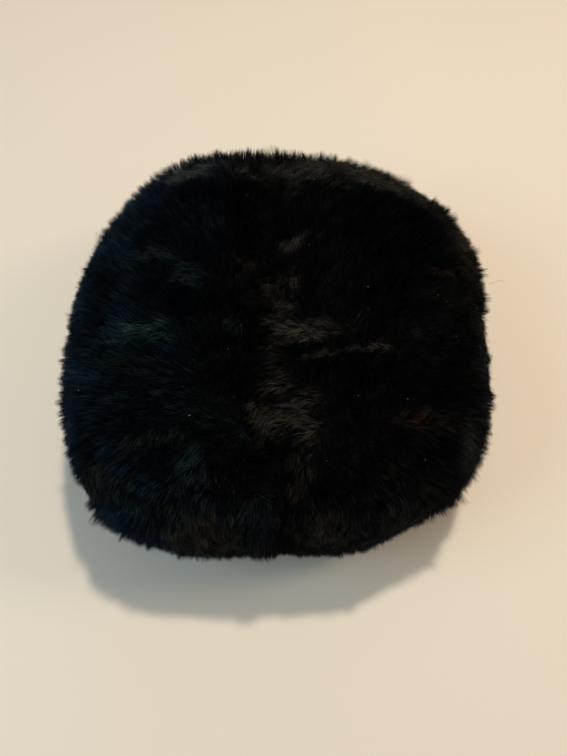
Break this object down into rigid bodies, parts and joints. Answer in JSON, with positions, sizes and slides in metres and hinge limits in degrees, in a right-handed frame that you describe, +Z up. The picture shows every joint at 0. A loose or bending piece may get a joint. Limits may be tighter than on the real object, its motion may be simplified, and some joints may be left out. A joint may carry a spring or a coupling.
{
  "type": "fur cap",
  "caption": "Soft rounded-square fur cap with a puffed crown sewn along a middle seam and a swelling side band round an open head hollow.",
  "frame": {"origin": "on the surface the cap stands on, under the middle of its bounding box", "axes": "+Z up through the crown, +Y along the middle seam from the front to the back, +X to the right of someone facing its front"},
  "size_m": [0.2448, 0.2618, 0.1087],
  "materials": {
    "black_fur": "matte"
  },
  "bodies": {
    "root": {"crown_left": "black_fur", "crown_right": "black_fur", "band_left": "black_fur", "band_right": "black_fur"}
  },
  "joints": []
}
